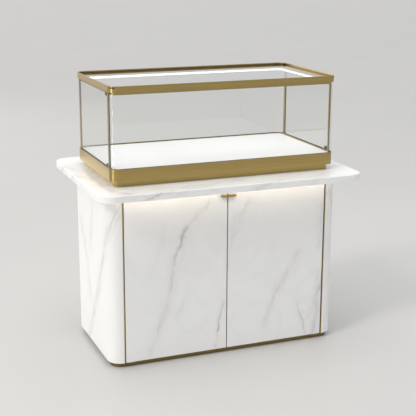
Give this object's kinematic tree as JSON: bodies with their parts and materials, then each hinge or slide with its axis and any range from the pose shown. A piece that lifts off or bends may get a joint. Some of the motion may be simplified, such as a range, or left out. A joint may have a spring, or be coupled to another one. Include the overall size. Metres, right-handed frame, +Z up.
{
  "type": "jewelry display counter",
  "caption": "Display counter: marble-look cabinet with hinged doors and an overhanging top, carrying a brass-framed glass showcase with hinged side panes and an inner light line.",
  "frame": {"origin": "on the floor under the middle of the countertop", "axes": "+X to the customer's right along the counter, +Y to the back where the staff stand, +Z up"},
  "size_m": [1.12, 0.75, 1.134],
  "materials": {
    "marble": "polished, white with grey and beige veins",
    "marble_laminate": "board faced with a white veined laminate",
    "brass": "brushed along its length",
    "board": "white melamine-faced board",
    "deck_white": "white satin lacquer on board",
    "glass": "clear, polished edges",
    "steel": "zinc plated",
    "aluminium": "anodised",
    "nylon": "natural nylon",
    "black_plastic": "moulded",
    "black_rubber": "extruded seal",
    "led_strip": "white circuit board",
    "diffuser": "opal, lit from behind",
    "black_clamp": "black, satin"
  },
  "bodies": {
    "counter": {"foot_pads": "black_plastic", "foot_stems": "steel", "plinth_skirt": "brass", "bottom_board": "board", "top_board": "board", "left_side_board": "board", "right_side_board": "board", "left_corner_post": "board", "right_corner_post": "board", "left_side_skin": "marble", "right_side_skin": "marble", "left_brass_inlay": "brass", "right_brass_inlay": "brass", "back_panel": "marble_laminate", "cable_grommet": "black_plastic", "carcass_screws": "steel", "shelf": "board", "shelf_pins": "steel", "pivot_plates": "steel", "magnetic_catches": "black_plastic", "countertop": "marble", "countertop_screws": "steel", "front_light_channel": "aluminium", "light_strips": "led_strip", "light_diffusers": "diffuser", "light_driver": "black_plastic", "lower_tier": "brass", "showcase_screws": "steel", "base_band": "brass", "deck_bearers": "board", "display_deck": "deck_white", "deck_seal": "black_rubber", "front_glass": "glass", "rear_glass": "glass", "glass_seals": "black_rubber", "showcase_posts": "brass", "side_rails": "brass", "pane_bushes": "nylon", "pane_seals": "black_rubber", "top_frame": "brass", "top_light_channel": "brass", "top_gasket": "black_rubber", "top_glass": "glass"},
    "left_door": {"left_door_core": "board", "left_door_skin": "marble", "left_door_bushes": "nylon", "left_door_pull": "brass", "left_pull_screws": "steel", "left_strike_plate": "steel"},
    "right_door": {"right_door_core": "board", "right_door_skin": "marble", "right_door_bushes": "nylon", "right_door_pull": "brass", "right_pull_screws": "steel", "right_strike_plate": "steel"},
    "left_glass_door": {"left_side_pane": "glass", "left_pane_shoes": "black_clamp"},
    "right_glass_door": {"right_side_pane": "glass", "right_pane_shoes": "black_clamp"}
  },
  "joints": [
    {"name": "left_door_hinge", "type": "hinge", "parent": "counter", "child": "left_door", "pos_m": [-0.415, -0.244, 0.0215], "axis": [0, 0, -1], "range_deg": [0, 105]},
    {"name": "right_door_hinge", "type": "hinge", "parent": "counter", "child": "right_door", "pos_m": [0.415, -0.244, 0.0215], "axis": [0, 0, 1], "range_deg": [0, 105]},
    {"name": "left_pane_hinge", "type": "hinge", "parent": "counter", "child": "left_glass_door", "pos_m": [-0.475, -0.199, 0.819], "axis": [0, 0, 1], "range_deg": [0, 95]},
    {"name": "right_pane_hinge", "type": "hinge", "parent": "counter", "child": "right_glass_door", "pos_m": [0.475, -0.199, 0.819], "axis": [0, 0, -1], "range_deg": [0, 95]}
  ]
}
